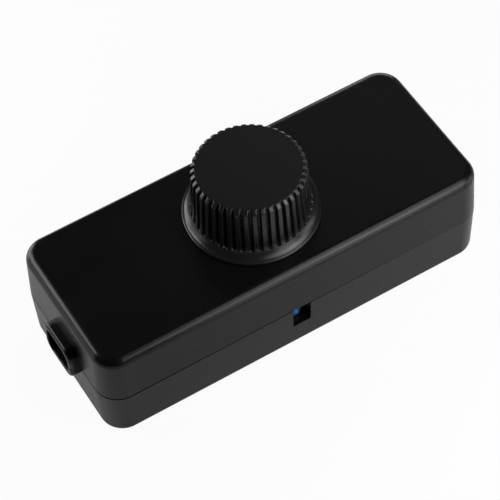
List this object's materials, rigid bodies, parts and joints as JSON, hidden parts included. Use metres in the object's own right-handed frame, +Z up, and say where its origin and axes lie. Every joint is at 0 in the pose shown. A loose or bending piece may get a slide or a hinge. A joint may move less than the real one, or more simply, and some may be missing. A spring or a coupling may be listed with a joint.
{
  "type": "in-line rotary led dimmer",
  "caption": "Black in-line rotary dimmer for LED lamps: a rounded two-part case with a fluted knob on top, a cord collar at each end and an indicator window.",
  "frame": {"origin": "centre of the case's flat underside, the bottom centre of the box", "axes": "+X along the case from the input end to the output end, -Y to the indicator window, +Z up along the knob's axis"},
  "size_m": [0.0914, 0.036, 0.0379],
  "materials": {
    "case_plastic": "satin moulded black",
    "knob_plastic": "satin moulded black",
    "shaft_metal": "turned",
    "carrier_plastic": "moulded",
    "bush_brass": "turned, nickel tinted",
    "can_metal": "drawn",
    "wafer_resin": "phenolic laminate",
    "tinned_wire": "tinned",
    "screw_steel": "zinc plated",
    "board_laminate": "solder mask",
    "blue_lens": "tinted clear resin",
    "capacitor_sleeve": "shrunk sleeve",
    "choke_core": "ferrite",
    "film_box": "moulded box",
    "chip_resin": "moulded resin",
    "fuse_body": "ceramic tube",
    "resistor_lacquer": "lacquered",
    "clamp_plastic": "moulded",
    "terminal_plastic": "moulded"
  },
  "bodies": {
    "case": {"top_shell": "case_plastic", "bottom_shell": "case_plastic", "pot_bushing": "bush_brass", "pot_can": "can_metal", "pot_wafer": "wafer_resin", "pot_terminals": "tinned_wire", "pot_washer": "screw_steel", "pot_nut": "screw_steel", "circuit_board": "board_laminate", "board_screws": "screw_steel", "case_screws": "screw_steel", "indicator_led": "blue_lens", "led_leads": "tinned_wire", "capacitor": "capacitor_sleeve", "choke": "choke_core", "film_capacitor": "film_box", "control_chip": "chip_resin", "fuse": "fuse_body", "diode": "chip_resin", "resistors": "resistor_lacquer", "transistor_rear": "chip_resin", "transistor_front": "chip_resin", "input_cord_clamp": "clamp_plastic", "input_clamp_screws": "screw_steel", "input_terminal": "terminal_plastic", "input_terminal_screws": "screw_steel", "output_cord_clamp": "clamp_plastic", "output_clamp_screws": "screw_steel", "output_terminal": "terminal_plastic", "output_terminal_screws": "screw_steel"},
    "knob": {"knob": "knob_plastic", "pot_shaft": "shaft_metal", "pot_wiper": "carrier_plastic"}
  },
  "joints": [
    {"name": "knob_turn", "type": "hinge", "parent": "case", "child": "knob", "pos_m": [0, 0, 0.03], "axis": [0, 0, 1], "range_deg": [-150, 150]}
  ]
}
